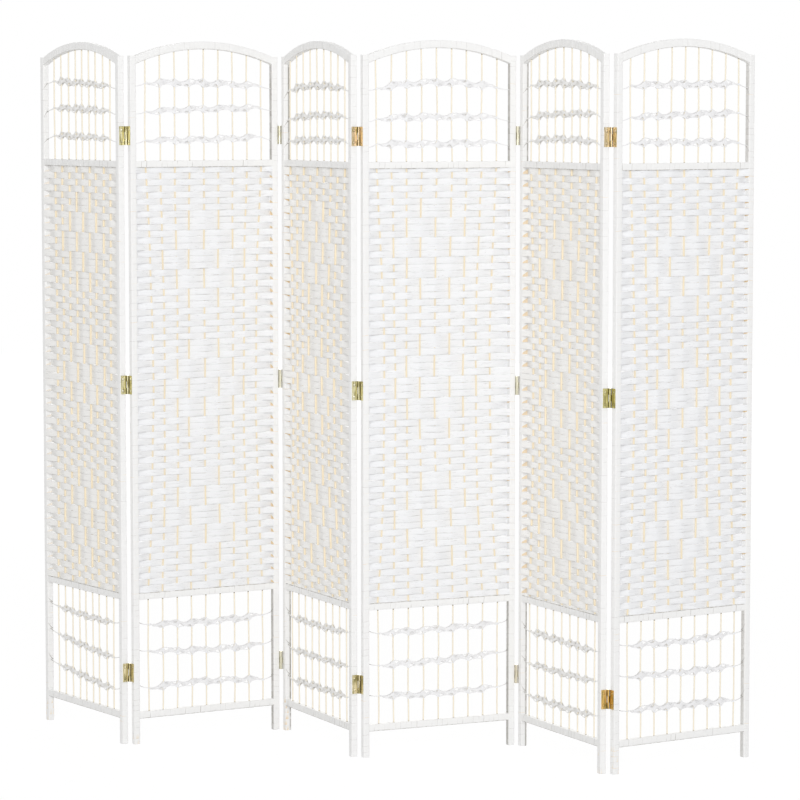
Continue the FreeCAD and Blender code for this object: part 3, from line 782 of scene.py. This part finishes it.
tape = Settings(
    pitch=13.5, overlap=0.32, under=0.06, sunk=-0.1, ledge=0.02, crown=0.16, stileCrown=0.2, puff=0.12,
    tilt=0.12, jitter=0.9, groove=0.45, corner=4, fill=2, seedStep=0.731, panelStep=3, seedApart=10,
    stileTilt=(0.2, 1.4), railTilt=(0.3, 1.2), intoStile=0.5, archReach=1.0,
    railDepth=14.2, railRound=1.6, edgeLine=0.9, edgeSeam=(0.25, 1.0), archEdge=0.4, archSeam=0.6,
    seam=(0.1, 0.55), railSeam=(0.2, 0.8), strong=0.09, strongSeam=(0.5, 0.9), coverage=(0.4, 0.9),
    tick=Settings(often=0.3, wide=1.5, wideRange=(0.5, 1.0), strength=0.75, strengthRange=(0.4, 1.0)),
    shadowSides=(-1, 1, -1),  # edge of each cross rail that shows a painted shadow line: below or above
    dark={  # inner faces in shadow above and below the weave: from where to the back, strength
        (2, 1): (0.1, 0.6), (4, 1): (0.1, 0.6), (6, 1): (0.1, 0.35),
        (3, -1): (0.85, 0.95), (5, -1): (0.85, 0.95),
    },
    darkRange=(0.75, 1.15), innerLeast=0.3,
    bare={  # bare wood in the recesses: height, at the top or not, how it widens, strength, front line
        (1, -1): (6.0, False, 1.0, 0.3, 0.1), (2, 1): (8.5, False, 0.5, 0.9, 0.8),
        (3, -1): (8.0, True, 1.5, 1.0, 0.4), (4, 1): (4.0, True, 0.3, 0.8, 0.6),
        (5, -1): (11.5, False, 0.7, 0.7, 0.2), (6, 1): (5.0, True, 0.3, 0.9, 0.9),
    },
    otherBare=(4.0, False, 1.0, 0.7, 0.2),
    bareRange=(0.6, 1.15), bareMost=0.7, bareLeast=0.18, crossingRange=(0.3, 1.2),
    scuffs={  # height reached, share, strength
        (3, -1): (80, 0.3, 0.8), (1, -1): (45, 0.2, 0.6), (2, -1): (20, 0.2, 0.4),
        (5, 1): (60, 0.12, 0.4), (6, -1): (60, 0.12, 0.4),
    },
    noScuff=(-1, 0, 0), scuffFade=0.4,
)


def roundedOutline(halfWide, halfDeep, radius):  # section of a bar, and the way out at each point
    points, outward = [], []
    corners = ((1, -1), (1, 1), (-1, 1), (-1, -1))
    for turn, (sx, sy) in enumerate(corners):
        for step in range(tape.corner):
            angle = math.pi / 2 * (turn - 1 + step / (tape.corner - 1))
            way = (math.cos(angle), math.sin(angle))
            points.append((
                sx * (halfWide - radius) + radius * way[0], sy * (halfDeep - radius) + radius * way[1]
            ))
            outward.append(way)
        nextX, nextY = corners[(turn + 1) % 4]
        start = np.array(points[-1])
        end = np.array([nextX * (halfWide - radius), nextY * (halfDeep - radius)]) + radius * np.array(way)
        for step in range(tape.fill):
            points.append(tuple(start + (end - start) * (step + 1) / (tape.fill + 1)))
            outward.append(way)
    return np.array(points), np.array(outward)


class WoundBar:  # a post or rail, ring by ring
    def __init__(self, halfWide, halfDeep, radius):
        self.outline, self.outward = roundedOutline(halfWide, halfDeep, radius)
        self.around = np.cumsum(np.append(0, np.hypot(*np.diff(self.outline, axis=0).T)))
        self.rings, self.lays, self.bares = [], [], []

    def lifted(self, lift):  # the section with its surface moved outwards
        return (self.outline + self.outward * lift).T

    def add(self, points, across, seed, bare):
        level = np.ones(len(self.around))
        self.rings.append(np.stack(points, -1))
        self.lays.append(np.stack([self.around * toMetres, across * level, seed * level], -1))
        self.bares.append(bare)

    def sweepInto(self, skein):
        skein.sweep(np.array(self.rings), np.array(self.lays), np.array(self.bares))


def partWay(around, chance):  # a stretch of the way round a bar
    turn = 2 * math.pi * around / around[-1] + chance.uniform(0, 2 * math.pi)
    least, swing = tape.coverage
    return np.clip(least + swing * np.cos(turn), 0, 1)


def bandRows(bounds, around, chance):  # rings of a wound rail: place along it, lift, across, band, seam
    rows = []
    under, sunk, tick = tape.under, tape.sunk, tape.tick
    for number, (low, high) in enumerate(zip(bounds[:-1], bounds[1:])):
        seam = -chance.uniform(*tape.railSeam) * partWay(around, chance)
        puff = chance.uniform(0, tape.puff)
        inset = low + tape.groove
        if chance.random() < tick.often:  # an open, darker turn
            inset = low + tick.wide * chance.uniform(*tick.wideRange)
            strength = -tick.strength * chance.uniform(*tick.strengthRange)
            seam = strength * partWay(around, chance)
        rows += [
            (low, sunk, -1.0, number, seam), (inset, sunk, -1.0, number, seam),
            (inset + tape.ledge, under, -1.0, number, 0 * seam),
            ((low + high) / 2, under + tape.crown + puff, 0.0, number, 0 * seam),
            (high, tape.overlap, 1.0, number, 0 * seam),
        ]
    return rows


def woundBounds(start, end, chance):
    count = max(2, round((end - start) / tape.pitch))
    bounds = np.linspace(start, end, count + 1)
    bounds[1:-1] += chance.uniform(-1, 1, count - 1) * tape.jitter
    return bounds


def makeStile(panel, end, rows):
    key = (panel.number, end)
    chance = np.random.default_rng(seeds["stiles"] + tape.seedApart * panel.number + end)
    bar = WoundBar(halfStile, halfStile, sizes.stileRound)
    sideways = bar.outline[:, 0]
    inner = np.clip(-end * bar.outward[:, 0], 0, 1)
    front = np.clip(-bar.outward[:, 1], 0, 1)
    toBack = np.clip(bar.outline[:, 1] / (2 * halfStile) + 0.5, 0, 1)
    edges = [rows[-1][0]] + [row[1] for row in reversed(rows)]
    behind = [not row[2][0] for row in reversed(rows)]
    low = woundBounds(0.0, edges[0], chance)
    high = woundBounds(edges[-1], sizes.height, chance)
    bounds = np.concatenate([low[:-1], edges, high[1:]])
    firstWoven = len(low) - 1
    tilts = chance.uniform(*tape.stileTilt, len(bounds))
    lean = -end * tape.tilt * tilts  # turns climb towards the field
    lean[0] = lean[-1] = 0
    bareHigh, atTop, shape, strength, crossing = tape.bare.get(key, tape.otherBare)
    scuffHigh, scuffShare, scuffStrength = tape.scuffs.get(key, tape.noScuff)
    darkFrom, darkStrength = tape.dark.get(key, (0, 0))
    wood = inner * strength
    sunk, hair = tape.sunk, tape.ledge / 2
    below = False

    def addRing(z, lift, across, bare):
        x, y = bar.lifted(lift)
        bar.add([x + end * (halfWidth - halfStile), y, z], across, seed, bare)

    for number in range(len(bounds) - 1):
        row = number - firstWoven
        woven = 0 <= row < len(behind)
        recessed = woven and behind[row]
        seed = panel.number * tape.panelStep + end + number * tape.seedStep
        seam = -chance.uniform(*tape.seam) * partWay(bar.around, chance)
        if chance.random() < tape.strong:
            seam = chance.uniform(*tape.strongSeam) * partWay(bar.around, chance)
        if below if atTop else recessed:
            line = front * crossing * chance.uniform(*tape.crossingRange)
            seam = np.maximum(seam, np.maximum(line, wood))
        most = tape.bareMost * (bounds[number + 1] - bounds[number])
        size = min(bareHigh * chance.uniform(*tape.bareRange), most)
        widen = tape.bareLeast + (1 - tape.bareLeast) * toBack ** shape
        wedge = tape.ledge + size * inner * widen
        scuffed = chance.random(len(inner)) < scuffShare
        scuffed = scuffed * (bounds[number] < scuffHigh) * scuffStrength
        dark = (inner > tape.innerLeast) * (toBack > darkFrom) * darkStrength
        dark = dark * chance.uniform(*tape.darkRange) * (not woven)
        foot = bounds[number] + lean[number] * sideways
        top = bounds[number + 1] + lean[number + 1] * sideways
        ceiling = top
        addRing(foot, sunk, 0.0, seam - dark)
        foot = foot + tape.groove
        addRing(foot, sunk, 0.0, seam - dark)
        if recessed and not atTop:
            addRing(foot + hair, sunk, 0.0, wood)
            foot = foot + wedge
            addRing(foot, sunk, 0.0, wood)
        if recessed and atTop:
            top = top - wedge
        addRing(foot + tape.ledge, tape.under, -1.0, scuffed - dark)
        crown = tape.stileCrown + chance.uniform(0, tape.puff)
        addRing((foot + top) / 2, crown, 0.0, scuffed * tape.scuffFade - dark)
        addRing(top, tape.overlap, 1.0, -dark)
        if recessed and atTop:
            addRing(top + hair, sunk, 0.0, wood)
            addRing(ceiling, sunk, 0.0, wood)
        below = recessed
    bar.rings[0][:, 2] = 0.0
    bar.rings[-1][:, 2] = sizes.height
    skein = Skein()
    bar.sweepInto(skein)
    side = "left" if end < 0 else "right"
    piece = skein.build("panel_%d_wound_%s_stile" % (panel.number, side), panel, tapeMaterial, sharp=30)
    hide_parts("panel_%d_%s_stile" % (panel.number, side))


def edgeLine(bar, halfDeep, halfHigh, side):  # points along the lower or upper front edge of a rail, where a painted shadow line goes
    atFront = bar.outline[:, 0] < tape.railRound - halfDeep
    return atFront & (side * bar.outline[:, 1] > halfHigh - tape.edgeLine)


def makeRails(panel):
    skein = Skein()
    chance = drawsFor("rails", panel)
    halfDeep, halfHigh = tape.railDepth / 2, sizes.railHeight / 2
    reach = halfInner + tape.intoStile
    for foot, shadowSide in zip(sizes.railFeet, tape.shadowSides):
        bar = WoundBar(halfDeep, halfHigh, tape.railRound)
        edge = edgeLine(bar, halfDeep, halfHigh, shadowSide)
        bounds = woundBounds(-reach, reach, chance)
        lean = tape.tilt * chance.uniform(*tape.railTilt) * np.ones(len(bounds))
        lean[[0, -1]] = 0
        for along, lift, across, number, seam in bandRows(bounds, bar.around, chance):
            tilt = np.interp(along, bounds, lean)
            deep, high = bar.lifted(lift)
            points = [along + tilt * bar.outline[:, 1], deep, foot + halfHigh + high]
            # painted shadow line along the chosen edge, seams elsewhere
            bare = np.where(edge, -chance.uniform(*tape.edgeSeam), seam)
            bar.add(points, across, foot + number * tape.seedStep, bare)
        bar.sweepInto(skein)
    piece = skein.build("panel_%d_wound_rails" % panel.number, panel, tapeMaterial, sharp=30)
    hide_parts("panel_%d_cross_rails" % panel.number)


def makeArch(panel):
    skein = Skein()
    chance = drawsFor("arches", panel)
    halfDeep, halfHigh = tape.railDepth / 2, sizes.archRail / 2
    bar = WoundBar(halfDeep, halfHigh, tape.railRound)
    edge = edgeLine(bar, halfDeep, halfHigh, -1)  # painted shade line along the underside
    middleRadius = archRadius - halfHigh
    reach = math.asin((halfInner + tape.archReach) / middleRadius)
    bounds = woundBounds(-reach * middleRadius, reach * middleRadius, chance)
    for along, lift, across, number, seam in bandRows(bounds, bar.around, chance):
        deep, high = bar.lifted(lift)
        radius = middleRadius + high
        limit = np.arcsin(np.clip((halfInner + tape.intoStile) / radius, -1, 1))
        angle = np.clip(along / middleRadius * limit / reach, -limit, limit)  # ends flush with the stiles
        points = [radius * np.sin(angle), deep, archCentre + radius * np.cos(angle)]
        # painted shade along the underside edge
        line = -tape.archEdge * chance.uniform(*tape.edgeSeam)
        bare = np.where(edge, line, seam * tape.archSeam)
        bar.add(points, across, panel.number + number * tape.seedStep, bare)
    bar.sweepInto(skein)
    piece = skein.build("panel_%d_wound_arch" % panel.number, panel, tapeMaterial, sharp=30)
    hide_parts("panel_%d_arched_top_rail" % panel.number)


for panel in panels:
    stickSet = StickSet(panel)
    rows = fieldRows(panel)
    makeSticks(panel, stickSet)
    makeWeave(panel, stickSet, rows)
    makeCords(panel, stickSet)
    makeStile(panel, -1, rows)
    makeStile(panel, 1, rows)
    makeRails(panel)
    makeArch(panel)
    print("panel", panel.number, "woven and wound")


# hinges: the part's leaves and pins in brass, with round slotted screws over the part's plain ones

screw = Settings(
    spacing=28.0, leaf=1.2, sides=24, slot=0.38, slotDepth=0.45, domeFrom=0.2, rimRadius=2.99, rimDark=0.8,
    rings=(  # radius, height above the leaf
        (3.5, -1.0), (3.5, 0.06), (3.0, 0.05), (2.98, 0.12), (2.75, 0.3), (2.0, 0.5), (1.0, 0.6),
    ),
)


def panelEnds(number):  # hinged ends of a panel
    ends = [] if number == 1 else [-1]
    return ends if number == panelCount else ends + [1]


def screwRings(end, level, cut):  # a domed head with a slot at an angle
    turns = np.arange(screw.sides) * 2 * math.pi / screw.sides
    face = halfWidth + screw.leaf
    rings = []
    for radius, out in screw.rings:
        y, z = radius * np.cos(turns), radius * np.sin(turns)
        inSlot = np.abs(y * math.sin(cut) - z * math.cos(cut)) < screw.slot
        sunken = inSlot & (out > screw.domeFrom)
        depth = np.where(sunken, out - screw.slotDepth, out)
        rings.append(np.stack([end * (face + depth), y, level + z], -1))
    return np.array(rings)


def makeScrews(panel):
    skein = Skein()
    chance = drawsFor("screws", panel)
    halfSpacing = screw.spacing / 2
    outer = np.array([radius > screw.rimRadius for radius, out in screw.rings])
    # painted shade round the rim of each head
    rimShading = np.repeat(outer * screw.rimDark, screw.sides)
    for end in panelEnds(panel.number):
        for level in hingeLevels.values():
            for offset in (-halfSpacing, halfSpacing):
                rings = screwRings(end, level + offset, chance.uniform(0, math.pi))
                skein.sweep(rings, np.zeros_like(rings), rimShading)
    piece = skein.build("panel_%d_round_screws" % panel.number, panel, screwMaterial, sharp=40)
    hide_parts("panel_%d_hinge_screws" % panel.number)


for panel in panels:
    makeScrews(panel)
for name, node in frame["nodes"].items():
    if name.endswith("hinge_leaves") or name.endswith("hinge_pins"):
        node.data.materials.clear()
        node.data.materials.append(leafMaterial)
print("hinges finished")


# stage: white floor and background, a wide soft light before the screen and a weaker one behind it

stage = Settings(
    floor=12.0, floorWhite=(0.86, 0.86, 0.86, 1), floorGlow=0.88, floorBright=1.05,
    white=(1, 1, 1, 1), worldColour=(1.0, 0.99, 0.975, 1), worldLight=0.60,
    lamps=(  # name, place, size, watts, colour
        ("key softbox", (3.56, -11.66, 3.9), 4.8, 604.0, (0.985, 0.99, 1.0)),
        ("back softbox", (-3.4, 12.0, 3.9), 4.8, 320.0, (1.0, 0.99, 0.98)),
    ),
    lampTarget=(0, 0, 0.9),
)


def backgroundRays(top):  # camera, mirror and glass rays see the plain white
    path = top.node("LightPath")
    return path.larger(path.other("Is Glossy Ray")).larger(path.other("Is Transmission Ray"))


def makeFloor():
    size = stage.floor
    corners = [(-size, -size, 0), (size, -size, 0), (size, size, 0), (-size, size, 0)]
    mesh = bpy.data.meshes.new("floor")
    mesh.from_pydata(corners, [], [(0, 1, 2, 3)])
    floor = addObject("floor", mesh)
    material, top = startMaterial("studio floor")
    paint = top.node("BsdfDiffuse", {"Color": stage.floorWhite})
    glow = top.node("Emission", {"Color": stage.white, "Strength": stage.floorBright})
    shown = top.node("MixShader", {0: backgroundRays(top) * stage.floorGlow, 1: paint, 2: glow})
    top.node("OutputMaterial", {0: shown})
    mesh.materials.append(material)


def makeWorld():
    world = bpy.data.worlds.new("studio")
    world.use_nodes = True
    world.node_tree.nodes.clear()
    top = Wire(world.node_tree)
    light = top.node("Background", {"Color": stage.worldColour, "Strength": stage.worldLight})
    white = top.node("Background", {"Color": stage.white, "Strength": 1.0})
    sky = top.node("MixShader", {0: backgroundRays(top), 1: light, 2: white})
    top.node("OutputWorld", {0: sky})
    bpy.context.scene.world = world


def makeLamps():
    for name, place, size, watts, colour in stage.lamps:
        lamp = bpy.data.lights.new(name, "AREA")
        lamp.shape = "SQUARE"
        lamp.size = size
        lamp.energy = watts
        lamp.color = colour
        holder = addObject(name, lamp)
        holder.location = place
        aim = Vector(stage.lampTarget) - Vector(place)
        holder.rotation_euler = aim.to_track_quat("-Z", "Y").to_euler()


view = Settings(
    lens=153.15, sensor=36.0, far=100.0, place=(2.3032, -7.7978, 1.5506), turn=15.9806, tilt=-4.9751,
)


def makeCamera():
    lens = bpy.data.cameras.new("camera")
    lens.lens = view.lens
    lens.sensor_width = view.sensor
    lens.clip_end = view.far
    camera = addObject("camera", lens)
    camera.location = view.place
    camera.rotation_euler = (math.pi / 2 + math.radians(view.tilt), 0, math.radians(view.turn))
    bpy.context.scene.camera = camera


makeFloor()
makeWorld()
makeLamps()
makeCamera()
bpy.context.scene.view_settings.view_transform = "Standard"
print("stage set")
